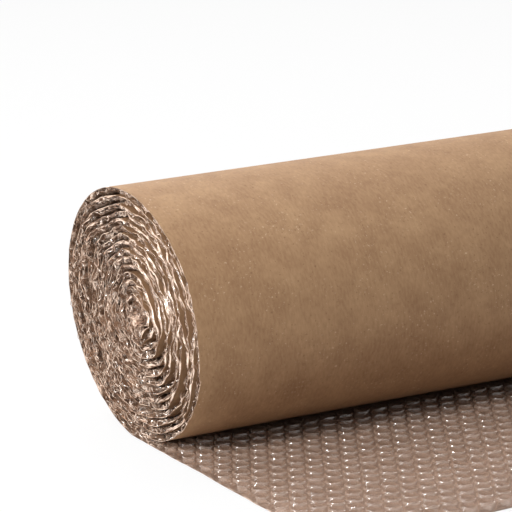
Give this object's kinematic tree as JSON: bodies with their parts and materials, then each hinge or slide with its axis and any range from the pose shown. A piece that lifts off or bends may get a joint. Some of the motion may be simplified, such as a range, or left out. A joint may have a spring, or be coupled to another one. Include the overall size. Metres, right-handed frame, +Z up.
{
  "type": "bubble wrap roll",
  "caption": "Coreless roll of kraft-backed bubble wrap lying on its side, with its free end pulled out flat, bubbles up.",
  "frame": {"origin": "on the floor below the middle of the part's box", "axes": "+X along the roll's axis, +Z up, and the free end points to -Y"},
  "size_m": [0.305, 0.2734, 0.1346],
  "materials": {
    "kraft_paper": "matt brown kraft paper with fine fibres and a faint speckle",
    "bubble_film": "clear glossy film over brown paper, so it reads as a greyish brown with small bright glints"
  },
  "bodies": {
    "root": {"kraft_paper": "kraft_paper", "bubble_film": "bubble_film"}
  },
  "joints": []
}
